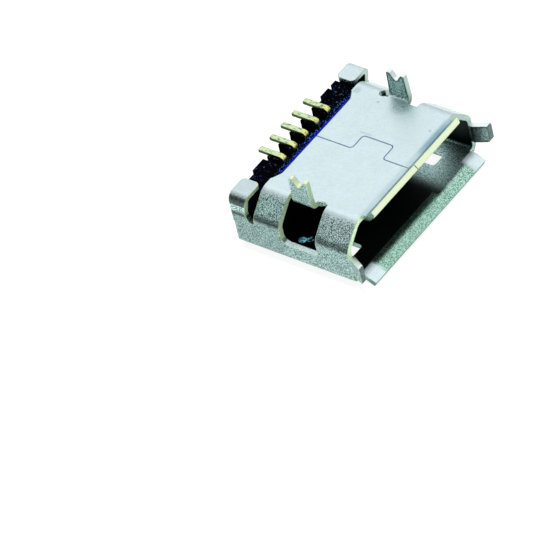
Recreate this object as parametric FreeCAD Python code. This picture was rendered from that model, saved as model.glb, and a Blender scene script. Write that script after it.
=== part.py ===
import FreeCAD, Part
import math
import os

# Micro-B board socket with a flared mouth, lying on its cover with the board side up.
# X runs across the mouth, Y from the mouth to the contact tails, Z from the cover to the board.
# The origin is on the outside of the cover, on the centre line, at the mouth edge of the side walls.

# Main sizes of the shell
shell_width = 7.30
shell_height = 2.25
shell_depth = 4.92
sheet = 0.20

# Section of the shell: the inclines that narrow it towards the board, and its outer bends
incline_run = 0.77
incline_rise = 0.75
cover_bend = 0.32
crease_bend = 0.50
seam_bend = 0.55
bend_inside = 0.12
corner_bend_inside = 0.06

# Rear edges, set back from the rear of the shell
seam_edge_setback = 1.24
wall_edge_setback = 1.02
cover_edge_setback = 0.26

# Recess in the rear edge of the seam plate
seam_recess_inset = 0.88
seam_recess_slope = 0.42
seam_recess_round = 0.25

# Seam with its tongue and notch
seam_gap = 0.02
seam_tongue_width = 0.68
seam_tongue_front = 0.95
seam_tongue_length = 1.25
seam_round = 0.12

# Flared lips and ears round the mouth
seam_lip_inset = 0.35
seam_lip_root = 0.15
seam_lip_length = 0.37
seam_lip_angle = 45.0
seam_lip_round = 0.10
cover_lip_inset = 0.39
cover_lip_root = 0.24
cover_lip_length = 0.43
cover_lip_angle = 28.0
ear_drop = 0.31
ear_height = 0.72
ear_root = 0.08
ear_length = 0.60
ear_angle = 26.0
ear_round = 0.10

# Side windows and the fork legs bent out of them
window_front = 1.34
window_length = 1.50
window_drop = 0.72
window_inset = 0.26
window_rear_round = 0.28
window_front_round = 0.10
leg_front = 1.76
leg_width = 0.80
leg_inset = 0.12
leg_height = 1.05
leg_taper = 0.04
leg_notch_depth = 0.36
leg_notch_width = 0.46
leg_round = 0.09
leg_bend_inside = 0.10
leg_overlap = 0.30
relief_radius = 0.16
relief_reach = 0.22
relief_shift = 0.04

# Latch holes in the cover
latch_hole_inset = 0.87
latch_hole_width = 0.66
latch_hole_front = 0.70
latch_hole_length = 1.45
latch_hole_round = 0.12

# Rear feet folded inwards at the board plane
foot_setback = 0.12
foot_width = 0.92
foot_length = 0.72
foot_round = 0.17
slit_drop = 0.30
slit_belly_rise = 0.30
slit_belly_depth = 0.34
slit_foot_depth = 0.20
slit_round = 0.08

# Flaps that close the rear
corner_flap_width = 1.17
corner_flap_drop = 0.35
corner_flap_fall = 0.37
corner_flap_round = 0.12
middle_flap_inset = 1.95
middle_flap_height = 0.50
flap_overlap = 0.60

# Contacts
contact_count = 5
contact_pitch = 0.65
contact_width = 0.20
contact_thickness = 0.12
contact_bend = 0.07
tail_overhang = 0.20
tail_root_setback = 0.85
beam_tip = 0.74
beam_drop = 0.87

# Insulator housing
shell_clearance = 0.03
contact_clearance = 0.01
body_length = 1.96
body_setback_low = 0.32
body_setback_high = 0.18
body_step_drop = 0.32
ridge_gap = 0.05
ridge_length = 0.19
ridge_drop = 0.03
ridge_round = 0.09
pocket_width = 3.04
pocket_setback = 0.94
pocket_drop = 0.47
pocket_round = 0.10
rib_width = 0.32
side_step_inset = 1.03
side_step_setback = 0.20
block_drop = 0.95
block_setback = 0.04
left_block_inset = 1.51
left_block_width = 0.62
right_block_inset = 1.35
right_block_width = 0.46
corner_block_inset = 0.92
corner_block_width = 0.27
tongue_width = 3.70
tongue_front = 0.60
tongue_drop = 0.92
tongue_thickness = 0.59
tongue_chamfer = 0.12
tongue_root_width = 4.60
tongue_root_length = 0.61
tongue_root_step = 0.20

# Places worked out from the sizes above
half_width = shell_width / 2
top_half_width = half_width - incline_run
crease_height = shell_height - incline_rise
seam_edge = shell_depth - seam_edge_setback
wall_edge = shell_depth - wall_edge_setback
foot_rear = shell_depth - foot_setback
foot_front = foot_rear - foot_length
body_front = shell_depth - body_length
body_rear_low = shell_depth - body_setback_low
body_rear_high = shell_depth - body_setback_high
body_side = half_width - sheet - shell_clearance
tongue_top = shell_height - tongue_drop
beyond = 1.0

X = FreeCAD.Vector(1, 0, 0)
Y = FreeCAD.Vector(0, 1, 0)
Z = FreeCAD.Vector(0, 0, 1)
CENTRE = FreeCAD.Vector(0, 0, 0)


def point(x, y, z):
    return FreeCAD.Vector(x, y, z)


def unit(vector):
    return vector * (1.0 / vector.Length)


def corner(before, at, after, radius):
    """First point, middle and last point of the arc that rounds one corner of a path."""
    if radius <= 0:
        return at, None, at
    back = unit(before - at)
    ahead = unit(after - at)
    half_angle = math.acos(back.dot(ahead)) / 2
    reach = radius / math.tan(half_angle)
    middle = unit(back + ahead)
    centre = at + middle * (radius / math.sin(half_angle))
    return at + back * reach, centre - middle * radius, at + ahead * reach


def rounded_face(points, radii):
    """Flat face inside a closed path whose corners have the matching radii."""
    count = len(points)
    corners = []
    for i in range(count):
        corners.append(corner(points[i - 1], points[i], points[(i + 1) % count], radii[i]))
    edges = []
    for i in range(count):
        first, middle, last = corners[i]
        if middle is not None:
            edges.append(Part.Arc(first, middle, last).toShape())
        start_of_next = corners[(i + 1) % count][0]
        if last.distanceToPoint(start_of_next) > 1e-6:
            edges.append(Part.LineSegment(last, start_of_next).toShape())
    return Part.Face(Part.Wire(edges))


def beside(points, distance, normal, closed):
    """The same path moved to its left side by a distance, seen against the normal."""
    count = len(points)
    moved = []
    for i in range(count):
        sides = []
        if closed or i > 0:
            sides.append(normal.cross(unit(points[i] - points[i - 1])))
        if closed or i < count - 1:
            sides.append(normal.cross(unit(points[(i + 1) % count] - points[i])))
        if len(sides) == 1:
            moved.append(points[i] + sides[0] * distance)
        else:
            spread = 1 + sides[0].dot(sides[1])
            moved.append(points[i] + (sides[0] + sides[1]) * (distance / spread))
    return moved


def bent_sheet(points, inside, thickness, normal, width):
    """Strip of bent sheet on the left of a path, as wide as the width along the normal."""
    other_side = beside(points, thickness, normal, False)
    near_radii = [0.0]
    far_radii = [0.0]
    for i in range(1, len(points) - 1):
        turn = (points[i] - points[i - 1]).cross(points[i + 1] - points[i]).dot(normal)
        near_radii.append(inside + thickness if turn > 0 else inside)
        far_radii.append(inside if turn > 0 else inside + thickness)
    near_radii.append(0.0)
    far_radii.append(0.0)
    outline = points + list(reversed(other_side))
    face = rounded_face(outline, near_radii + list(reversed(far_radii)))
    return face.extrude(normal * width)


def block(x_low, x_high, y_low, y_high, z_low, z_high):
    return Part.makeBox(x_high - x_low, y_high - y_low, z_high - z_low, point(x_low, y_low, z_low))


def both_sides(shape):
    """A piece at +X together with its mirror image at -X."""
    return [shape, shape.mirror(CENTRE, X)]


def shell_section(distance, depth):
    """Closed section of the shell, moved inwards by a distance, at a depth behind the mouth."""
    outer = [
        point(-half_width, depth, 0),
        point(half_width, depth, 0),
        point(half_width, depth, crease_height),
        point(top_half_width, depth, shell_height),
        point(-top_half_width, depth, shell_height),
        point(-half_width, depth, crease_height),
    ]
    bends = [cover_bend, cover_bend, crease_bend, seam_bend, seam_bend, crease_bend]
    moved = beside(outer, distance, -Y, True)
    return rounded_face(moved, [max(bend - distance, 0.0) for bend in bends])


def shell_tube():
    """Folded tube, cut back at the rear so that only the cover and the side bands go on."""
    tube_end = shell_depth - bend_inside - sheet
    length = Y * tube_end
    tube = shell_section(0, 0).extrude(length).cut(shell_section(sheet, 0).extrude(length))
    open_rear = block(-half_width - beyond, half_width + beyond, wall_edge, tube_end + beyond,
                      crease_height - slit_drop, shell_height + beyond)
    cover_side = half_width - corner_flap_width + sheet
    cover_end = block(-cover_side, cover_side, tube_end - sheet, shell_depth - cover_edge_setback,
                      0, sheet)
    return tube.cut(open_rear).fuse(cover_end).cut(seam_plate_recess())


def seam_plate_recess():
    """Shallow recess in the rear edge of the seam plate, where the housing's ridge sits."""
    inner = top_half_width - seam_recess_inset
    outer = inner + seam_recess_slope
    level = shell_height - sheet - seam_bend / 2
    outline = [
        point(-inner, seam_edge, level),
        point(inner, seam_edge, level),
        point(outer, wall_edge, level),
        point(outer, wall_edge + beyond, level),
        point(-outer, wall_edge + beyond, level),
        point(-outer, wall_edge, level),
    ]
    rounds = [seam_recess_round] * 3 + [0, 0, seam_recess_round]
    return rounded_face(outline, rounds).extrude(Z * beyond)


def seam_cut():
    """Thin cut along the seam, round its tongue."""
    level = shell_height - beyond / 2
    path = [
        point(-seam_gap / 2, wall_edge + beyond, level),
        point(-seam_gap / 2, seam_tongue_front + seam_tongue_length, level),
        point(seam_tongue_width, seam_tongue_front + seam_tongue_length, level),
        point(seam_tongue_width, seam_tongue_front, level),
        point(-seam_gap / 2, seam_tongue_front, level),
        point(-seam_gap / 2, -beyond, level),
    ]
    return bent_sheet(path, seam_round, seam_gap, Z, 2 * beyond)


def seam_lip():
    """Lip of the seam plate, flared up towards the board."""
    slope = math.radians(seam_lip_angle)
    half = top_half_width - seam_lip_inset
    front = -seam_lip_root - seam_lip_length * math.cos(slope)
    path = [
        point(-half, sheet, shell_height),
        point(-half, -seam_lip_root, shell_height),
        point(-half, front, shell_height + seam_lip_length * math.sin(slope)),
    ]
    strip = bent_sheet(path, bend_inside, sheet, X, 2 * half)
    tip = front - sheet * math.sin(slope)
    outline = [
        point(-half, beyond, shell_height - beyond),
        point(half, beyond, shell_height - beyond),
        point(half, tip, shell_height - beyond),
        point(-half, tip, shell_height - beyond),
    ]
    rounds = [0, 0, seam_lip_round, seam_lip_round]
    return strip.common(rounded_face(outline, rounds).extrude(Z * 2 * beyond))


def cover_lip():
    """Lip of the cover, flared down and forwards."""
    slope = math.radians(cover_lip_angle)
    half = half_width - cover_lip_inset
    path = [
        point(-half, sheet, sheet),
        point(-half, -cover_lip_root, sheet),
        point(-half, -cover_lip_root - cover_lip_length * math.cos(slope),
              sheet - cover_lip_length * math.sin(slope)),
    ]
    return bent_sheet(path, bend_inside, sheet, X, 2 * half)


def ear():
    """Ear of the +X side band, flared outwards."""
    slope = math.radians(ear_angle)
    ear_top = crease_height - ear_drop
    ear_bottom = ear_top - ear_height
    path = [
        point(half_width, sheet, ear_top),
        point(half_width, -ear_root, ear_top),
        point(half_width + ear_length * math.sin(slope),
              -ear_root - ear_length * math.cos(slope), ear_top),
    ]
    strip = bent_sheet(path, bend_inside, sheet, -Z, ear_height)
    side = half_width - beyond
    outline = [
        point(side, sheet + beyond, ear_bottom),
        point(side, sheet + beyond, ear_top),
        point(side, path[2].y, ear_top),
        point(side, path[2].y, ear_bottom),
    ]
    return strip.common(rounded_face(outline, [0, 0, ear_round, ear_round]).extrude(X * 2 * beyond))


def side_window():
    """Opening in the +X side, from the side band up to the edge of the seam plate."""
    side = top_half_width - window_inset
    rear = window_front + window_length
    sill = crease_height - window_drop
    outline = [
        point(side, window_front, sill),
        point(side, rear, sill),
        point(side, rear, shell_height + beyond),
        point(side, window_front, shell_height + beyond),
    ]
    rounds = [window_front_round, window_rear_round, 0, 0]
    return rounded_face(outline, rounds).extrude(X * 2 * beyond)


def fork_leg():
    """Fork leg at +X, bent up from the edge of the seam plate."""
    tip = shell_height + leg_height
    face = top_half_width - leg_inset
    path = [
        point(face - leg_overlap, leg_front, shell_height),
        point(face, leg_front, shell_height),
        point(face, leg_front, tip),
    ]
    strip = bent_sheet(path, leg_bend_inside, sheet, Y, leg_width)
    rear = leg_front + leg_width
    middle = leg_front + leg_width / 2
    root = shell_height + leg_bend_inside
    side = face - beyond
    outline = [
        point(side, leg_front, shell_height - beyond),
        point(side, rear, shell_height - beyond),
        point(side, rear, root),
        point(side, rear - leg_taper, tip),
        point(side, middle + leg_notch_width / 2, tip),
        point(side, middle, tip - leg_notch_depth),
        point(side, middle - leg_notch_width / 2, tip),
        point(side, leg_front + leg_taper, tip),
        point(side, leg_front, root),
    ]
    prong = (leg_width - leg_notch_width) / 2 - leg_taper
    tip_round = min(leg_round, prong / 2)
    rounds = [0, 0, 0, tip_round, tip_round / 3, leg_round, tip_round / 3, tip_round, 0]
    return strip.common(rounded_face(outline, rounds).extrude(X * 2 * beyond))


def leg_relief(depth):
    """Round relief beside a leg's root at +X."""
    centre = top_half_width - leg_inset - relief_shift
    start = point(centre, depth, shell_height - beyond / 2)
    return Part.makeCylinder(relief_radius, beyond, start, Z)


def rear_foot():
    """Post at the rear of the +X side, with its pad folded inwards at the board plane."""
    inner = half_width - foot_width
    path = [
        point(half_width, foot_rear, crease_height - corner_flap_drop - sheet / 2),
        point(half_width, foot_rear, shell_height),
        point(inner, foot_rear, shell_height),
    ]
    strip = bent_sheet(path, bend_inside, sheet, -Y, foot_rear - wall_edge)
    outline = [
        point(inner, foot_front, 0),
        point(half_width + sheet, foot_front, 0),
        point(half_width + sheet, foot_rear, 0),
        point(inner, foot_rear, 0),
    ]
    pad = rounded_face(outline, [foot_round, 0, 0, foot_round]).extrude(Z * 2 * shell_height)
    post = block(0, half_width + sheet, wall_edge, foot_rear, 0, crease_height)
    return strip.common(pad.fuse(post))


def post_slit():
    """Slit between the +X side wall and the post of its rear foot."""
    top = shell_height + sheet
    side = half_width - foot_width - sheet
    floor = crease_height - slit_drop
    outline = [
        point(side, wall_edge, floor),
        point(side, wall_edge + slit_foot_depth, floor),
        point(side, wall_edge + slit_belly_depth, floor + slit_belly_rise),
        point(side, foot_front, shell_height),
        point(side, foot_front, top),
        point(side, wall_edge, top),
    ]
    rounds = [slit_round, slit_round, slit_foot_depth, 0, 0, 0]
    return rounded_face(outline, rounds).extrude(X * 2 * beyond)


def corner_flap():
    """Short flap at +X that wraps from the side band round the rear corner."""
    end = half_width - corner_flap_width
    height = crease_height - corner_flap_drop
    path = [
        point(half_width, shell_depth - flap_overlap, 0),
        point(half_width, shell_depth, 0),
        point(end, shell_depth, 0),
    ]
    strip = bent_sheet(path, corner_bend_inside, sheet, Z, height)
    front = wall_edge - beyond
    outline = [
        point(end, front, 0),
        point(half_width, front, 0),
        point(half_width, front, height),
        point(half_width - corner_bend_inside - sheet, front, height),
        point(end, front, height - corner_flap_fall),
    ]
    rounds = [corner_flap_round, cover_bend, 0, 0, corner_flap_round]
    return strip.common(rounded_face(outline, rounds).extrude(Y * 3 * beyond))


def middle_flap():
    """Flap bent up from the rear edge of the cover."""
    half = half_width - middle_flap_inset
    path = [
        point(-half, shell_depth - flap_overlap, 0),
        point(-half, shell_depth, 0),
        point(-half, shell_depth, middle_flap_height),
    ]
    return bent_sheet(path, bend_inside, sheet, X, 2 * half)


def latch_hole():
    """Hole in the cover at +X for the plug's latch."""
    outer = half_width - latch_hole_inset
    inner = outer - latch_hole_width
    rear = latch_hole_front + latch_hole_length
    outline = [
        point(inner, latch_hole_front, -sheet),
        point(outer, latch_hole_front, -sheet),
        point(outer, rear, -sheet),
        point(inner, rear, -sheet),
    ]
    return rounded_face(outline, [latch_hole_round] * len(outline)).extrude(Z * 3 * sheet)


def make_shell():
    """Shell folded from one sheet."""
    shell = shell_tube()
    added = [seam_lip(), cover_lip(), middle_flap()]
    for make in (ear, corner_flap, rear_foot):
        added += both_sides(make())
    shell = shell.multiFuse(added)
    removed = [seam_cut()]
    for make in (side_window, post_slit, latch_hole):
        removed += both_sides(make())
    shell = shell.cut(removed)
    shell = shell.multiFuse(both_sides(fork_leg()))
    rear_relief = leg_relief(leg_front + leg_width + relief_reach)
    front_relief = leg_relief(leg_front - relief_reach).mirror(CENTRE, X)
    return shell.cut([rear_relief, front_relief]).removeSplitter()


def contact_path(x, gap):
    """Upper side of a contact from its tail to the tip of its beam, kept off by a gap."""
    tail_end = shell_depth + tail_overhang + gap
    tail_root = shell_depth - tail_root_setback - gap
    tail_top = shell_height + gap
    beam_top = shell_height - beam_drop + gap
    return [
        point(x, tail_end, tail_top),
        point(x, tail_root, tail_top),
        point(x, tail_root, beam_top),
        point(x, beam_tip - gap, beam_top),
    ]


def make_contact(x, gap=0.0):
    """One contact, or with a gap the space that the housing leaves for it."""
    width = contact_width + 2 * gap
    thickness = contact_thickness + 2 * gap
    return bent_sheet(contact_path(x - width / 2, gap), contact_bend, thickness, X, width)


def contact_places():
    first = contact_pitch * (contact_count - 1) / 2
    return [first - contact_pitch * i for i in range(contact_count)]


def housing_body():
    """Block that fills the rear of the shell."""
    section = shell_section(sheet + shell_clearance, body_front)
    body = section.extrude(Y * (body_rear_high - body_front))
    outline = [
        point(-body_side, body_front, 0),
        point(body_side, body_front, 0),
        point(body_side, body_rear_low, 0),
        point(-body_side, body_rear_low, 0),
    ]
    step = crease_height - body_step_drop
    low_part = rounded_face(outline, [0, 0, sheet, sheet]).extrude(Z * step)
    high_part = block(-body_side, body_side, body_front, body_rear_high, step, shell_height)
    return body.common(low_part.fuse(high_part))


def housing_ridge():
    """Ridge that fills the recess in the rear edge of the seam plate."""
    level = shell_height - 2 * sheet
    half = top_half_width - seam_recess_inset
    front = seam_edge + ridge_gap
    rear = front + ridge_length
    outline = [
        point(-half, front, level),
        point(half, front, level),
        point(half, rear, level),
        point(-half, rear, level),
    ]
    return rounded_face(outline, [ridge_round] * len(outline)).extrude(Z * (2 * sheet - ridge_drop))


def tail_pocket():
    """Lowered floor round the tails."""
    half = pocket_width / 2
    front = shell_depth - pocket_setback
    floor = shell_height - pocket_drop
    outline = [
        point(-half, front, floor),
        point(half, front, floor),
        point(half, shell_depth + beyond, floor),
        point(-half, shell_depth + beyond, floor),
    ]
    return rounded_face(outline, [pocket_round, pocket_round, 0, 0]).extrude(Z * beyond)


def tail_rib(x):
    """Rib that carries one tail."""
    top = shell_height - contact_thickness - contact_clearance
    return block(x - rib_width / 2, x + rib_width / 2, shell_depth - pocket_setback, body_rear_high,
                 shell_height - pocket_drop - sheet, top)


def side_steps():
    """Space in front of the rear feet, cut from both sides of the housing's rear."""
    side = half_width - side_step_inset
    return both_sides(block(side, half_width, shell_depth - side_step_setback, shell_depth, 0, shell_height))


def rear_block(outer, width):
    """Block on the housing's rear between two places across it, level with its top."""
    return block(outer - width, outer, body_rear_low, shell_depth - block_setback,
                 shell_height - block_drop, shell_height - sheet - shell_clearance)


def rear_blocks():
    """Blocks beside the tails: one to the left, one and a small corner block to the right."""
    left = rear_block(half_width - left_block_inset, left_block_width).mirror(CENTRE, X)
    right = rear_block(half_width - right_block_inset, right_block_width)
    corner_block = rear_block(half_width - corner_block_inset, corner_block_width)
    return [left, right, corner_block]


def housing_tongue():
    """Tongue in the mouth that carries the contact beams, with its thicker root."""
    half = tongue_width / 2
    tongue_bottom = tongue_top - tongue_thickness
    outline = [
        point(-half, tongue_front, tongue_bottom + tongue_chamfer),
        point(-half, tongue_front + tongue_chamfer, tongue_bottom),
        point(-half, body_front + sheet, tongue_bottom),
        point(-half, body_front + sheet, tongue_top),
        point(-half, tongue_front + tongue_chamfer, tongue_top),
        point(-half, tongue_front, tongue_top - tongue_chamfer),
    ]
    tongue = rounded_face(outline, [0] * len(outline)).extrude(X * tongue_width)
    root_half = tongue_root_width / 2
    root = block(-root_half, root_half, body_front - tongue_root_length, body_front + sheet,
                 tongue_bottom - tongue_root_step, tongue_top + tongue_root_step)
    return tongue.fuse(root)


def make_housing():
    """Insulator moulded in one piece."""
    body = housing_body().cut(side_steps())
    body = body.multiFuse([housing_ridge(), housing_tongue()] + rear_blocks())
    body = body.cut(tail_pocket())
    body = body.multiFuse([tail_rib(x) for x in contact_places()])
    body = body.cut([make_contact(x, contact_clearance) for x in contact_places()])
    return body.removeSplitter()


def save(shape, node):
    shape.exportStep("parts/%s.step" % node)
    size = shape.BoundBox
    print(node, "solids", len(shape.Solids), "valid", shape.isValid(), "volume", round(shape.Volume, 4),
          "x", round(size.XMin, 3), round(size.XMax, 3), "y", round(size.YMin, 3), round(size.YMax, 3),
          "z", round(size.ZMin, 3), round(size.ZMax, 3))


os.makedirs("parts", exist_ok=True)
save(make_shell(), "shell")
save(make_housing(), "housing")
for number, place in enumerate(contact_places(), start=1):
    save(make_contact(place), "contact_%d" % number)
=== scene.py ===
import math

import bpy
from mathutils import Matrix, Vector


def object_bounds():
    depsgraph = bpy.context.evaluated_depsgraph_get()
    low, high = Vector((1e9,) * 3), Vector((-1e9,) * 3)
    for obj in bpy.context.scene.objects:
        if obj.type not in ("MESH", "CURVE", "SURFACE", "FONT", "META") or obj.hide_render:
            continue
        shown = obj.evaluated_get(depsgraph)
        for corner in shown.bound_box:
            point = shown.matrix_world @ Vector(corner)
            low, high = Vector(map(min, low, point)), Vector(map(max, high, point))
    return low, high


bl_info = {
    "name": "Board Socket",
    "version": (1, 0, 0),
    "blender": (4, 5, 0),
    "location": "View3D > Sidebar > Socket",
    "description": "Finishes of a flared board socket, with its floor, lights and camera",
    "category": "Object",
}

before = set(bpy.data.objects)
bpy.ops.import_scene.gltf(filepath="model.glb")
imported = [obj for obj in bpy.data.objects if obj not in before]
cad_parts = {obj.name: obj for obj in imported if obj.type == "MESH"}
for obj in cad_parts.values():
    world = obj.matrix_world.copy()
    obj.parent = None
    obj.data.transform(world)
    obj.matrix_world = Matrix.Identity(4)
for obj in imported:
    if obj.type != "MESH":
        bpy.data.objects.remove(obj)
cad_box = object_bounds()
MM = 0.001

# Where the lights and the camera turn to: the middle of the socket.
MIDDLE = Vector((0, 2.5, 1.2)) * MM

# Places on the socket, in millimetres from its middle (x), its mouth (y) and its cover (z).
LIP_HALF_WIDTH = 2.62
WALL_FACE = 3.42
EAR_ROOT = 3.60
FOOT_FRONT = 3.8
LEG_ROOT = 2.35
HOUSING_TOP_FRONT = 3.5
HOUSING_STEP = 1.85
CONTACT_BEND = 4.30

# Spans of smaller places, in the same lengths.
TUBE_Y = (0.0, 4.74)
TUBE_Z = (0.15, 2.12)
TUBE_FLOOR_Z = (0.15, 0.40)
FLOOR_END_X = (1.0, LIP_HALF_WIDTH)
FLOOR_END_Y = (-0.26, 0.1)
HOLE_X = (2.2, 3.2)
HOLE_Y = (0.5, 2.4)
SILL_Z = (0.72, 0.95)
EAR_TOP_Z = (1.10, 1.25)
CREASE_Z = (1.37, 1.56)
FRONT_INCLINE_Z = (1.62, 2.15)
FOOT_BEND_Z = (1.86, 2.18)
RELIEF_X = (2.5, 2.9)
RELIEF_Z = (2.0, 2.26)
PLATE_Z = (2.2, 2.3)
GROOVE_Y = (-0.24, 0.06)
GROOVE_Z = (2.2, 2.40)
SEAM_Z = (2.1, 2.30)
COINED_X = (0.77, 0.82)
COINED_Y = (1.95, 2.42)

# Round marks, and round places of painted shade and painted glints: x, y and radius in
# millimetres, and the softness of the squared radius.
ROOT_SCUFF = (2.42, 1.86, 0.36, 0.14)
PIT = (2.42, 1.78, 0.06, 0.004)
REAR_DOT = (2.26, 2.71, 0.05, 0.003)
FRONT_DOT = (1.82, 0.25, 0.05, 0.003)
CORNER_MARK = (2.46, 3.72, 0.14, 0.02)
LIP_SHADE = (1.58, -0.05, 0.75, 0.5)
REAR_GLINT = (-2.76, 2.74, 0.15, 0.006)
FRONT_GLINT = (-2.62, 2.50, 0.12, 0.006)

# Lights: direction from the middle of the socket, then distance and size in metres.
LAMP = ((-0.04, 0.06, 1), 0.12, 0.02)
CARDS = {
    "top_card": ((-0.06, 0.32, 0.95), 0.14, 0.15),
    "rear_card": ((0.58, 0.519, 0.60), 0.14, 0.14),
    "front_card": ((0.536, -0.45, 0.64), 0.13, 0.14),
    "side_card": ((-0.652, 0.519, 0.553), 0.14, 0.08),
}

# Floor and clipping distances in metres, and the width of the sensor in millimetres.
FLOOR_SIZE = 1.2
CLIP_START = 0.01
CLIP_END = 10
SENSOR_WIDTH = 36

# Cosine of the turn between two normals at which a face counts as beside an edge, and its
# softness.
EDGE_TURN = (0.955, 0.035)


class Field:
    """A value that varies over a surface, held as an output socket of shader nodes."""

    def __init__(self, nodes, socket):
        self.nodes = nodes
        self.socket = socket

    def math(self, operation, first, second):
        return self.nodes.add("ShaderNodeMath", {"operation": operation}, {0: first, 1: second})

    def __add__(self, other):
        return self.math("ADD", self, other)

    def __radd__(self, other):
        return self.math("ADD", other, self)

    def __sub__(self, other):
        return self.math("SUBTRACT", self, other)

    def __rsub__(self, other):
        return self.math("SUBTRACT", other, self)

    def __mul__(self, other):
        return self.math("MULTIPLY", self, other)

    def __rmul__(self, other):
        return self.math("MULTIPLY", other, self)

    def above(self, level, softness):
        """0 below the level and 1 above it, with a soft step between."""
        return self.nodes.add(
            "ShaderNodeMapRange",
            {"interpolation_type": "SMOOTHSTEP"},
            {"Value": self, "From Min": level - softness, "From Max": level + softness},
        )

    def below(self, level, softness):
        """1 below the level and 0 above it."""
        return 1 - self.above(level, softness)

    def within(self, low, high, softness):
        """1 between two levels and 0 beyond them."""
        return self.above(low, softness) * self.below(high, softness)

    def absolute(self):
        return self.math("ABSOLUTE", self, 0)

    def larger(self, other):
        return self.math("MAXIMUM", self, other)

    def smaller(self, other):
        return self.math("MINIMUM", self, other)


class Shader:
    """Nodes of one material, read in millimetres of the socket's own frame."""

    def __init__(self, name):
        self.material = bpy.data.materials.new(name)
        self.material.use_nodes = True
        self.tree = self.material.node_tree
        self.tree.nodes.clear()
        coordinates = self.add("ShaderNodeTexCoord", output="Object")
        self.place = self.add(
            "ShaderNodeVectorMath", {"operation": "SCALE"}, {0: coordinates, "Scale": 1 / MM}
        )
        self.x, self.y, self.z = self.split(self.place)
        self.normal_x, self.normal_y, self.normal_z = self.split(
            self.add("ShaderNodeNewGeometry", output="Normal")
        )

    def add(self, kind, settings=None, inputs=None, output=0):
        """Adds a node, sets it, joins its inputs and returns one of its outputs."""
        node = self.tree.nodes.new(kind)
        for name, value in (settings or {}).items():
            setattr(node, name, value)
        for key, value in (inputs or {}).items():
            if isinstance(value, Field):
                self.tree.links.new(value.socket, node.inputs[key])
            else:
                node.inputs[key].default_value = value
        return Field(self, node.outputs[output]) if node.outputs else node

    def split(self, vector):
        """The three parts of a vector."""
        node = self.add("ShaderNodeSeparateXYZ", inputs={0: vector}).socket.node
        return [Field(self, node.outputs[axis]) for axis in "XYZ"]

    def spot(self, x, y, radius, softness):
        """1 inside a round place, seen from the board, in millimetres."""
        from_x = self.x - x
        from_y = self.y - y
        return (from_x * from_x + from_y * from_y).below(radius * radius, softness)

    def noise(self, size, detail=2.0, stretch=(1, 1, 1)):
        """Cloudy noise with features of about a size in millimetres."""
        turned = {"Vector": self.place, "Rotation": (0.6, 0.8, 0.4), "Scale": stretch}
        place = self.add("ShaderNodeMapping", {}, turned)
        return self.add(
            "ShaderNodeTexNoise", {}, {"Vector": place, "Scale": 1 / size, "Detail": detail}
        )

    def mix(self, factor, first, second):
        """Colour between two colours."""
        settings = {"data_type": "RGBA"}
        return self.add("ShaderNodeMix", settings, {0: factor, 6: first, 7: second}, output=2)

    def paint(self, colour, layers):
        """Lays colours over a colour in turn, each as far as its mask says."""
        for mask, over in layers:
            colour = self.mix(mask, colour, over if isinstance(over, Field) else rgb(over))
        return colour

    def bump(self, height, depth, normal=None):
        """Normal over a relief whose height of 1 is a depth in millimetres."""
        inputs = {"Height": height, "Distance": depth * MM, "Strength": 1.0}
        if normal is not None:
            inputs["Normal"] = normal
        return self.add("ShaderNodeBump", {}, inputs)

    def soft_edges(self, radius):
        """Normal that turns round sharp edges over a radius in millimetres."""
        return self.add("ShaderNodeBevel", {"samples": 6}, {"Radius": radius * MM})

    def edge_band(self, radius):
        """1 beside sharp edges and 0 on open faces, over a radius in millimetres."""
        normals = {
            0: self.add("ShaderNodeNewGeometry", output="Normal"),
            1: self.soft_edges(radius),
        }
        alike = self.add(
            "ShaderNodeVectorMath", {"operation": "DOT_PRODUCT"}, normals, output="Value"
        )
        return alike.below(*EDGE_TURN)

    def finish(self, **inputs):
        """Closes the material with a principled shader."""
        named = {name.replace("_", " "): value for name, value in inputs.items()}
        shader = self.add("ShaderNodeBsdfPrincipled", {}, named)
        self.add("ShaderNodeOutputMaterial", {}, {"Surface": shader})
        return self.material


def rgb(colour):
    """A colour with full alpha, as the sockets take it."""
    return (*colour, 1.0)


def colour_property(name, description, default):
    return bpy.props.FloatVectorProperty(
        name=name, description=description, default=default, subtype="COLOR", min=0, max=1
    )


def amount_property(name, description, default, low=0.0, high=1.0):
    return bpy.props.FloatProperty(
        name=name, description=description, default=default, min=low, max=high
    )


def angle_property(name, description, degrees):
    return bpy.props.FloatProperty(
        name=name, description=description, default=math.radians(degrees), subtype="ANGLE"
    )


def length_property(name, description, default):
    return bpy.props.FloatProperty(
        name=name, description=description, default=default, subtype="DISTANCE", unit="LENGTH"
    )


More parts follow.
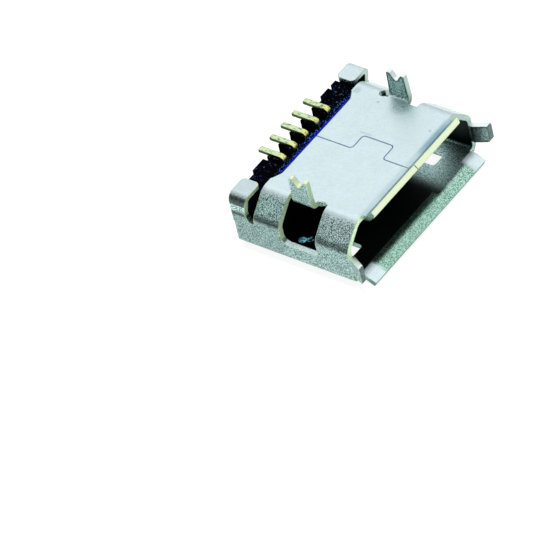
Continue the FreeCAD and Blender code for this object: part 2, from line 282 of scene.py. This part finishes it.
class PlatingSettings(bpy.types.PropertyGroup):
    """Finish of the folded shell."""

    face: colour_property("Face", "Seam plate and the pads of the feet", (0.80, 0.96, 1.0))
    wall: colour_property("Wall", "Side bands and inclines", (0.64, 1.0, 0.92))
    # Lip: a greener, darker copy of the face colour, painted shade on the lip between its end
    # pads; the end pads take the face colour.
    lip: colour_property("Lip", "Lip of the cover", (0.57, 1.0, 0.80))
    # Speck: the dark grains, and also painted shade on the low walls, the near leg and the ends
    # of the ears.
    speck_and_shade: colour_property("Speck", "Dark grains of the satin faces", (0.05, 0.08, 0.08))
    # Cut edges: the near colour also paints highlights along the edges; the far colour is a
    # darker copy of it, as painted shade; the bright colour is a paler copy, as painted
    # highlight.
    edge: colour_property("Cut edge", "Sheared edges on the near side", (0.76, 1.0, 0.66))
    far_edge_shade: colour_property("Far cut edge", "Sheared edges on the far side", (0.50, 0.66, 0.58))
    bright_edge: colour_property("Bright edge", "Sheared edge of the seam lip", (0.88, 1.0, 0.70))
    # Inside: painted shade, nearly black, deep in the tube; the same colour paints shade in
    # creases, bends and on faces turned away.
    inside: colour_property("Inside", "Faces deep inside the tube", (0.035, 0.05, 0.045))
    # Pool: painted light on the cover's inner side by the latch hole and on the hole's cut faces.
    pool: colour_property("Pool", "Cover's inner side by the latch hole", (0.66, 0.98, 0.96))
    scuff: colour_property("Scuff", "Scuffs on the seam plate", (0.33, 0.45, 0.47))
    # Groove: painted shade in the bend at the root of the seam lip, darker in a round patch.
    groove_shade: colour_property("Groove", "Bend at the root of the seam lip", (0.26, 0.43, 0.52))
    glint: colour_property("Glint", "Blue glints on the cover", (0.28, 0.80, 1.0))
    seam: colour_property("Seam", "Faces along the seam line", (0.32, 0.50, 0.88))
    # Rim: painted shade on the lowest, downward-facing edge of the cover.
    rim_shade: colour_property("Rim", "Lowest edge of the cover", (0.07, 0.25, 0.19))
    # Far incline: a paler copy of the wall colour, as painted light on the incline of the far
    # side.
    lit_incline: colour_property("Far incline", "Incline on the far side", (0.84, 1.0, 1.0))
    # Tip: painted light, a pale colour on the upward tops of the ears and the fork legs.
    lit_tip: colour_property("Tip", "Tops of the ears and the fork legs", (0.92, 1.0, 1.0))
    # Sill: painted highlight on the lower edge of the side windows.
    sill: colour_property("Sill", "Lower edge of the side windows", (0.80, 1.0, 1.0))
    roughness: amount_property("Roughness", "Gloss of the faces", 0.38)


class InsulatorSettings(bpy.types.PropertyGroup):
    """Finish of the moulded housing."""

    body: colour_property("Body", "Moulded plastic", (0.0012, 0.0012, 0.002))
    glint_fleck: colour_property("Fleck", "Blue glints in the plastic", (0.03, 0.08, 0.44))
    shine: colour_property("Shine", "Blue line along the shell", (0.006, 0.02, 0.60))
    dust: colour_property("Dust", "Pale flecks on the plastic", (0.10, 0.16, 0.24))
    roughness: amount_property("Roughness", "Gloss of the plastic", 0.6)
    gloss: amount_property("Gloss", "Strength of its reflections", 0.0)


class ContactSettings(bpy.types.PropertyGroup):
    """Finish of the contacts."""

    tail: colour_property("Tail", "Pale gold of the tails", (0.72, 0.90, 0.54))
    bend: colour_property("Bend", "Deeper gold at the bends", (0.86, 0.90, 0.34))
    # Side: the dark grains, and painted shade on the sheared sides and along the edges.
    side: colour_property("Side", "Sheared sides", (0.05, 0.07, 0.03))
    roughness: amount_property("Roughness", "Gloss of the gold", 0.38)


class StageSettings(bpy.types.PropertyGroup):
    """Floor, lights and camera."""

    azimuth: angle_property("Azimuth", "Turn of the camera round the socket", -45.917)
    elevation: angle_property("Elevation", "Height of the camera above the horizon", 41.767)
    roll: angle_property("Roll", "Turn of the picture", 13.25)
    distance: length_property("Distance", "From the camera to the socket", 0.2273)
    lens: amount_property("Lens", "Focal length in millimetres", 457.7, 1.0, 1000.0)
    picture_scale: amount_property(
        "Picture scale", "Pixels to a millimetre at the socket", 29.816, 1.0, 1000.0
    )
    offset_right: amount_property(
        "Offset right", "Pixels from the picture's centre to the socket", 83.63, -500.0, 500.0
    )
    offset_up: amount_property(
        "Offset up", "Pixels from the picture's centre to the socket", 97.98, -500.0, 500.0
    )
    floor: colour_property("Floor", "Colour of the floor", (0.88, 0.88, 0.88))
    glow: amount_property("Glow", "Light of the floor towards the camera", 1.1, 0.0, 10.0)
    shadow: amount_property("Shadow", "How far the floor shows the shadow", 0.20)
    sky: amount_property("Sky", "Level of the surroundings", 0.06)
    key: amount_property("Key", "Power of the small lamp overhead in watts", 0.11, 0.0, 10.0)
    top_card: amount_property("Top card", "Brightness of the card overhead", 0.7, 0.0, 10.0)
    rear_card: amount_property(
        "Rear card", "Brightness of the card behind and to the right", 0.92, 0.0, 10.0
    )
    front_card: amount_property(
        "Front card", "Brightness of the card in front and to the right", 1.15, 0.0, 10.0
    )
    side_card: amount_property(
        "Side card", "Brightness of the card behind and to the left", 0.78, 0.0, 10.0
    )


def finish_node(node, material):
    """Gives a node of the model its material in every slot."""
    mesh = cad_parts[node].data
    mesh.materials.clear()
    mesh.materials.append(material)


class ShellPlaces:
    """Soft masks of the folded shell: 1 on a place and 0 away from it.

    The near side is at -X, and the board faces +Z.
    """

    def __init__(self, shader):
        x, y, z = shader.x, shader.y, shader.z
        self.grain = shader.noise(size=0.033)
        self.cloud = shader.noise(size=0.7)
        self.side = x.absolute()
        self.near_side = x.below(0, 0.1)
        self.upright = shader.normal_z
        self.lengthways = shader.normal_y.absolute()

        # Large faces: the seam plate and the feet, the lip of the cover and its two end pads.
        facing_board = (self.upright + (self.grain - 0.5) * 0.5).above(0.80, 0.10)
        self.plain = facing_board * z.above(1.9, 0.1)
        low = z.below(0.50, 0.10) * y.below(-0.02, 0.03) * self.upright.above(0.3, 0.2)
        # The lip splits from its two end pads at the edge of the seam lip's shadow.
        self.lip = low * self.side.below(LIP_HALF_WIDTH, 0.10)
        self.pads = low * (1 - self.lip)
        far_side = x.above(2.9, 0.1) * shader.normal_x.above(0.2, 0.1)
        self.far_incline = far_side * z.above(1.4, 0.1)

        # Parts that stand out of the tube.
        self.leg = z.above(LEG_ROOT, 0.05)
        self.leg_top = z.above(2.8, 0.05) * self.upright.above(0.3, 0.1)
        self.foot = self.side.above(2.7, 0.1) * y.above(FOOT_FRONT, 0.1)
        self.ear = self.side.above(EAR_ROOT, 0.02) * y.below(-0.05, 0.03)
        self.ear_face = self.side.above(3.30, 0.05) * y.below(-0.06, 0.03)

        # Inside of the tube, painted nearly black as painted shade, with a painted pool of light
        # on part of its floor.
        turned_in = (x * shader.normal_x).below(-0.5, 0.3).larger(self.upright.below(-0.5, 0.2))
        self.tube_floor = z.within(*TUBE_FLOOR_Z, 0.03) * self.upright.above(0.5, 0.1)
        floor_end = self.tube_floor * x.within(*FLOOR_END_X, 0.10) * y.within(*FLOOR_END_Y, 0.08)
        deep = y.within(*TUBE_Y, 0.05) * z.within(*TUBE_Z, 0.03)
        self.inside = (turned_in.larger(self.tube_floor) * deep).larger(floor_end)
        # The latch hole's cut faces and the floor towards the far side take a painted pool of
        # light.
        hole_wall = z.below(0.24, 0.01) * self.upright.absolute().below(0.3, 0.1)
        hole_wall = hole_wall * self.side.within(*HOLE_X, 0.1) * y.within(*HOLE_Y, 0.1)
        self.pool = (self.tube_floor * x.above(1.40, 0.40)).larger(hole_wall)

        # Satin faces, as far as they show dark grains.
        rough = (1 - self.plain) * (1 - self.pads) * (1 - self.lip * 0.4)
        self.rough = rough * (1 - self.leg * 0.15) * (1 - self.far_incline * 0.8)

        # Narrow faces of the sheet's thickness.
        ledge = self.upright.above(0.8, 0.1) * self.side.above(WALL_FACE, 0.02)
        self.ear_top = ledge * z.within(*EAR_TOP_Z, 0.02) * y.below(0.1, 0.05)
        self.sill = ledge * z.within(*SILL_Z, 0.02)
        self.cut = self.cut_edges(shader)

    def cut_edges(self, shader):
        """Sheared edges that face the mouth or the rear."""
        cut = self.lengthways.above(0.93, 0.03) * (1 - self.ear)
        cut = cut * shader.y.below(4.4, 0.05) * shader.z.above(0.40, 0.05)
        relief = self.side.within(*RELIEF_X, 0.02) * shader.z.within(*RELIEF_Z, 0.01)
        relief = relief * shader.normal_x.absolute().above(0.12, 0.05)
        return cut * (1 - relief * shader.y.above(1.3, 0.1))


def plate_marks(shader, places):
    """Scuffs left on the seam plate by the forming tools."""
    root = shader.spot(*ROOT_SCUFF) * places.grain.below(0.51, 0.05) * 0.8
    dots = shader.spot(*REAR_DOT).larger(shader.spot(*FRONT_DOT))
    corner_mark = shader.spot(*CORNER_MARK) * places.cloud
    coined = shader.x.within(*COINED_X, 0.02) * shader.y.within(*COINED_Y, 0.05) * 0.45
    marks = root.larger(shader.spot(*PIT)).larger(dots * 0.6)
    marks = marks.larger(corner_mark * 0.7).larger(coined)
    return marks * shader.z.within(*PLATE_Z, 0.02) * places.upright.above(0.9, 0.05)


def face_layers(shader, places, settings):
    """Colours of the large faces, with painted shade on the lip between its end pads and painted
    light on the inclines, and the dark and the pale grains over them.
    """
    mottle = places.cloud * 0.5 + shader.noise(size=0.10) * 0.9 + places.grain * 0.6 - 0.5
    face = shader.mix(mottle, rgb(settings.face), rgb([part * 0.80 for part in settings.face]))
    # Painted light: the front of the near incline paler.
    lit_front_incline = places.near_side * shader.z.within(*FRONT_INCLINE_Z, 0.1)
    lit_front_incline = lit_front_incline * shader.y.below(1.4, 0.1)
    return [
        (places.plain.larger(places.pads), face),
        # Painted light on the far incline.
        (places.far_incline, settings.lit_incline),
        (places.lip, settings.lip),
        (lit_front_incline * 0.35, settings.face),
        (places.grain.below(0.49, 0.035) * (places.rough * 0.92 + 0.06), settings.speck_and_shade),
        (places.grain.above(0.58, 0.03) * places.rough * 0.6, settings.face),
    ]


def bend_layers(shader, places, settings):
    """Painted shade where the sheet is bent, on the low walls and the near leg, dark grains on
    the near foot, and the marks on the seam plate.
    """
    y, z, side, grain = shader.y, shader.z, places.side, places.grain
    # Painted shade in the groove at the root of the seam lip.
    groove_shade = y.within(*GROOVE_Y, 0.10) * z.within(*GROOVE_Z, 0.03) * side.below(2.6, 0.1)
    groove_shade = groove_shade * (shader.spot(*LIP_SHADE) * 0.55 + places.cloud * 0.5 + 0.12)
    # Painted shade along the crease between wall and incline, grainy and darker towards the rear.
    shade_depth = (0.62 + grain.below(0.55, 0.06) * 0.60) * (places.cloud * 0.6 + 0.70)
    shade_depth = (shade_depth + y.above(2.7, 0.2) * 0.28).smaller(0.95)
    crease_shade = z.within(*CREASE_Z, 0.10) * side.above(3.1, 0.1) * (1 - places.inside)
    # Painted shade: the lower walls darker, most towards the rear, and the near leg darker.
    low_wall_shade = z.below(1.35, 0.1) * (y.above(2.7, 0.3) * 0.14 + 0.25)
    leg_shade = places.leg * places.near_side * 0.30
    # Painted shade under the bend of the feet.
    pad_bend_shade = z.within(*FOOT_BEND_Z, 0.04) * places.foot * side.above(3.5, 0.05)
    # Painted shade on the cover lip, darker towards the mouth.
    lip_bend_shade = (y.above(-0.12, 0.24) * 0.26 - grain).above(-0.37, 0.04) * places.lip
    return [
        (groove_shade, settings.groove_shade),
        (plate_marks(shader, places), settings.scuff),
        (crease_shade * shade_depth, settings.inside),
        ((low_wall_shade + leg_shade) * places.rough, settings.speck_and_shade),
        (places.foot * places.plain * places.near_side * grain * 0.3, settings.speck_and_shade),
        (pad_bend_shade * (0.86 + grain.below(0.52, 0.05) * 0.12), settings.inside),
        (lip_bend_shade * z.below(0.35, 0.05) * 0.82, settings.inside),
    ]


def edge_layers(shader, places, settings):
    """Sheared edges with painted highlights beside them, painted shade on edges and faces turned
    away, on the lowest edge and the ear ends, and painted light on the small faces that catch the
    light.
    """
    x, y, z, side, grain = shader.x, shader.y, shader.z, places.side, places.grain
    # Cut edges, paler on the near side and darker on the far side as painted light and shade, and
    # painted highlights in a band beside the edges.
    edge = shader.mix(places.near_side, rgb(settings.far_edge_shade), rgb(settings.edge))
    beside_edges = shader.edge_band(radius=0.065) * (1 - places.inside) * z.above(0.12, 0.05)
    # Painted shade: dark rims and dark grains on the far leg and ear faces that turn away, darker
    # towards the ear's root.
    turned_away = shader.normal_x.below(-0.3, 0.1) * x.above(2.4, 0.1)
    turned_away = turned_away * places.leg.larger(places.ear_face)
    shaded = grain.below(0.51, 0.03) * 0.26 + places.ear_face * side.below(EAR_ROOT, 0.10) * 0.8
    seam = beside_edges * side.below(1.75, 0.05) * z.within(*SEAM_Z, 0.02) * y.above(0.1, 0.05)
    # Painted shade on the lowest edge, where it faces down.
    lowest = z.below(0.04, 0.03) * places.upright.below(0.4, 0.1)
    lip_end = y.below(-0.36, 0.02) * z.above(2.3, 0.05) * shader.normal_y.below(-0.5, 0.1)
    ear_end_shade = places.ear * places.lengthways.above(0.8, 0.1)
    return [
        (places.cut.larger(beside_edges * (1 - turned_away) * 0.75), edge),
        (shader.edge_band(radius=0.18) * turned_away * 0.92, settings.inside),
        (grain.below(0.46, 0.03) * places.rough * 0.35, settings.speck_and_shade),
        (turned_away * shaded, settings.inside),
        (seam * (places.cloud + 0.4), settings.seam),
        (lowest * 0.8, settings.rim_shade),
        # Painted light on the upward tops of the ears and the fork legs.
        (places.ear_top.larger(places.leg_top), settings.lit_tip),
        # Painted highlight on the window sills.
        (places.sill * (1 - grain.below(0.44, 0.03) * 0.5), settings.sill),
        # Painted highlight on the seam lip's cut edge and the near leg tops.
        (lip_end.larger(places.leg_top * places.near_side), settings.bright_edge),
        # Painted shade on the end faces of the ears.
        (ear_end_shade * 0.7, settings.speck_and_shade),
    ]


def plating(settings):
    """Satin plating over the folded sheet, with sheared edges and dark grains, painted shade
    inside the tube, in bends and on turned faces, and painted light on lit faces and edges.
    """
    shader = Shader("satin_plating")
    places = ShellPlaces(shader)
    glint = shader.spot(*REAR_GLINT).larger(shader.spot(*FRONT_GLINT))
    glint = glint * shader.noise(size=0.08, detail=1.0).above(0.46, 0.04)
    # Painted shade inside the tube, with a painted pool of light and painted glints over it.
    inner_colour = shader.paint(rgb(settings.inside), [
        (places.pool, settings.pool),
        (places.grain.below(0.47, 0.05) * 0.8, settings.inside),
        (glint, settings.glint),
    ])
    colour = shader.paint(rgb(settings.wall), [
        *face_layers(shader, places, settings),
        *bend_layers(shader, places, settings),
        *edge_layers(shader, places, settings),
        (places.inside, inner_colour),
    ])
    outside = 1 - places.inside
    matt = (places.pads * 1.4).larger(places.sill) * outside
    matt = matt.larger(glint * places.tube_floor * 1.6)
    window_edges = places.cut * places.near_side * shader.y.above(0.5, 0.2)
    matt = matt.larger(window_edges * outside * 1.2)
    return shader.finish(
        Base_Color=colour,
        Metallic=1 - matt * 0.6,
        Roughness=settings.roughness + places.grain * 0.08,
        Normal=shader.bump(places.grain, depth=0.003, normal=shader.soft_edges(radius=0.03)),
    )


def insulator(settings):
    """Black moulded plastic with faint painted blue glints, more of them beside the shell."""
    shader = Shader("black_insulator")
    grain = shader.noise(size=0.06, detail=1.0)
    rear = shader.y.above(HOUSING_TOP_FRONT, 0.05)
    facing_board = shader.normal_z.above(0.5, 0.2)
    near_shell = shader.z.above(HOUSING_STEP, 0.05) * rear
    beside_shell = shader.y.below(4.06, 0.14) * near_shell
    patchy = shader.noise(size=0.35, detail=1.0).above(0.47, 0.10) * rear * 0.7
    top = facing_board * 0.8 + 0.2
    # Painted blue glints, more on faces that face the board and beside the shell.
    glint_flecks = (grain + beside_shell * 0.10).above(0.71, 0.05) * patchy.larger(beside_shell)
    line = shader.y.below(3.76, 0.03) * near_shell * (grain + 0.45) * facing_board
    dust = shader.noise(size=0.09, detail=1.0).above(0.68, 0.03) * patchy
    colour = shader.paint(rgb(settings.body), [
        (glint_flecks * top, settings.glint_fleck),
        (line, settings.shine),
        (dust * top * 0.6, settings.dust),
    ])
    return shader.finish(
        Base_Color=colour,
        Roughness=settings.roughness + grain * 0.2,
        Specular_IOR_Level=settings.gloss,
        Normal=shader.bump(grain, depth=0.008),
    )


def gold(settings):
    """Gold over stamped contacts, deeper at the bends, with dark grains, and painted shade on the
    sheared sides and along the edges.
    """
    shader = Shader("contact_gold")
    grain = shader.noise(size=0.04, stretch=(1, 0.3, 1))
    sheared = shader.normal_x.absolute().above(0.8, 0.1)
    colour = shader.paint(rgb(settings.tail), [
        (shader.y.below(CONTACT_BEND, 0.10), settings.bend),
        (grain.below(0.42, 0.04) * 0.7, settings.side),
        # Painted shade on the sheared sides and beside the edges.
        (sheared.larger(shader.edge_band(radius=0.05) * 0.5), settings.side),
    ])
    return shader.finish(
        Base_Color=colour,
        Metallic=1.0,
        Roughness=settings.roughness + grain * 0.1,
        Normal=shader.bump(grain, depth=0.003),
    )


class SOCKET_OT_shell(bpy.types.Operator):
    """Gives the folded shell its plating"""

    bl_idname = "socket.shell"
    bl_label = "Shell plating"

    def execute(self, context):
        finish_node("shell", plating(context.scene.socket_plating))
        return {"FINISHED"}


class SOCKET_OT_housing(bpy.types.Operator):
    """Gives the moulded housing its plastic"""

    bl_idname = "socket.housing"
    bl_label = "Housing plastic"

    def execute(self, context):
        finish_node("housing", insulator(context.scene.socket_insulator))
        return {"FINISHED"}


class SOCKET_OT_contacts(bpy.types.Operator):
    """Gives the contacts their gold"""

    bl_idname = "socket.contacts"
    bl_label = "Contact gold"

    def execute(self, context):
        material = gold(context.scene.socket_contact)
        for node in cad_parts:
            if node.startswith("contact"):
                finish_node(node, material)
        return {"FINISHED"}


def seen_rays(shader):
    """1 where the camera sees the surface, straight, in metal or through glass."""
    path = shader.add("ShaderNodeLightPath", output="Is Camera Ray").socket.node
    straight, mirrored, through = [
        Field(shader, path.outputs[name])
        for name in ("Is Camera Ray", "Is Glossy Ray", "Is Transmission Ray")
    ]
    return straight.larger(mirrored).larger(through)


def floor_material(settings):
    """Pale floor that shows white to the camera and keeps a soft shadow."""
    shader = Shader("pale_floor")
    white = rgb((1, 1, 1))
    strength = settings.glow - settings.shadow
    glow = shader.add("ShaderNodeEmission", {}, {"Color": white, "Strength": strength})
    shaded = shader.add("ShaderNodeBsdfDiffuse", {}, {"Color": rgb([settings.shadow] * 3)})
    shown = shader.add("ShaderNodeAddShader", {}, {0: glow, 1: shaded})
    matte = shader.add("ShaderNodeBsdfDiffuse", {}, {"Color": rgb(settings.floor)})
    both = shader.add("ShaderNodeMixShader", {}, {0: seen_rays(shader), 1: matte, 2: shown})
    shader.add("ShaderNodeOutputMaterial", {}, {"Surface": both})
    return shader.material


def area_light(name, direction, distance, size, power):
    """Square light of a power in watts, which faces the middle of the socket."""
    place = MIDDLE + Vector(direction).normalized() * distance
    bpy.ops.object.light_add(type="AREA", location=place)
    lamp = bpy.context.object
    lamp.name = name
    lamp.rotation_euler = (MIDDLE - place).to_track_quat("-Z", "Y").to_euler()
    lamp.data.size = size
    lamp.data.energy = power
    return lamp


def make_floor(settings):
    """Floor under the lowest point of the socket."""
    place = (MIDDLE.x, MIDDLE.y, cad_box[0].z)
    bpy.ops.mesh.primitive_plane_add(size=FLOOR_SIZE, location=place)
    floor = bpy.context.object
    floor.name = "floor"
    floor.data.transform(floor.matrix_world)
    floor.matrix_world = Matrix.Identity(4)
    floor.data.materials.append(floor_material(settings))
    return floor


def make_lights(settings):
    """Small lamp overhead, large cards that the faces mirror, and a faint sky."""
    key = area_light("key", *LAMP, settings.key)
    key.visible_glossy = False
    for name, (direction, distance, size) in CARDS.items():
        power = getattr(settings, name) * math.pi * size * size
        area_light(name, direction, distance, size, power)
    scene = bpy.context.scene
    scene.world = scene.world or bpy.data.worlds.new("studio")
    scene.world.use_nodes = True
    background = scene.world.node_tree.nodes["Background"]
    background.inputs["Color"].default_value = rgb((1, 1, 1))
    background.inputs["Strength"].default_value = settings.sky


def make_camera(settings):
    """Camera at the angle, the distance and the place in the picture that the settings give."""
    azimuth, elevation, roll = settings.azimuth, settings.elevation, settings.roll
    back = Vector((
        math.sin(azimuth) * math.cos(elevation),
        -math.cos(azimuth) * math.cos(elevation),
        math.sin(elevation),
    ))
    right = Vector((math.cos(azimuth), math.sin(azimuth), 0))
    up = back.cross(right)
    picture_right = right * math.cos(roll) - up * math.sin(roll)
    picture_up = right * math.sin(roll) + up * math.cos(roll)
    place = MIDDLE + back * settings.distance
    pixel = MM / settings.picture_scale
    aim = MIDDLE - picture_right * settings.offset_right * pixel
    aim = aim - picture_up * settings.offset_up * pixel
    away = (place - aim).normalized()
    across = (picture_right - away * picture_right.dot(away)).normalized()
    bpy.ops.object.camera_add(location=place)
    camera = bpy.context.object
    camera.name = "camera"
    turned = Matrix((across, away.cross(across), away)).transposed()
    camera.rotation_euler = turned.to_euler()
    camera.data.lens = settings.lens
    camera.data.sensor_width = SENSOR_WIDTH
    camera.data.clip_start = CLIP_START
    camera.data.clip_end = CLIP_END
    return camera


class SOCKET_OT_stage(bpy.types.Operator):
    """Makes the floor, the lights and the camera"""

    bl_idname = "socket.stage"
    bl_label = "Floor, lights and camera"

    def execute(self, context):
        settings = context.scene.socket_stage
        floor = make_floor(settings)
        make_lights(settings)
        context.scene.camera = make_camera(settings)
        context.scene.view_settings.view_transform = "Standard"
        return {"FINISHED"}


class SOCKET_PT_panel(bpy.types.Panel):
    """Lists the steps in the sidebar"""

    bl_label = "Board Socket"
    bl_idname = "SOCKET_PT_panel"
    bl_space_type = "VIEW_3D"
    bl_region_type = "UI"
    bl_category = "Socket"

    def draw(self, context):
        for operator in OPERATORS:
            self.layout.operator(operator.bl_idname)


GROUPS = {
    "socket_plating": PlatingSettings,
    "socket_insulator": InsulatorSettings,
    "socket_contact": ContactSettings,
    "socket_stage": StageSettings,
}
OPERATORS = (SOCKET_OT_shell, SOCKET_OT_housing, SOCKET_OT_contacts, SOCKET_OT_stage)


def register():
    for name, group in GROUPS.items():
        bpy.utils.register_class(group)
        setattr(bpy.types.Scene, name, bpy.props.PointerProperty(type=group))
    for operator in OPERATORS:
        bpy.utils.register_class(operator)
    bpy.utils.register_class(SOCKET_PT_panel)


def unregister():
    bpy.utils.unregister_class(SOCKET_PT_panel)
    for operator in reversed(OPERATORS):
        bpy.utils.unregister_class(operator)
    for name, group in reversed(list(GROUPS.items())):
        delattr(bpy.types.Scene, name)
        bpy.utils.unregister_class(group)


def main():
    register()
    bpy.ops.object.select_all(action="DESELECT")
    bpy.ops.socket.shell()
    bpy.ops.socket.housing()
    bpy.ops.socket.contacts()
    bpy.ops.socket.stage()


if __name__ == "__main__":
    main()
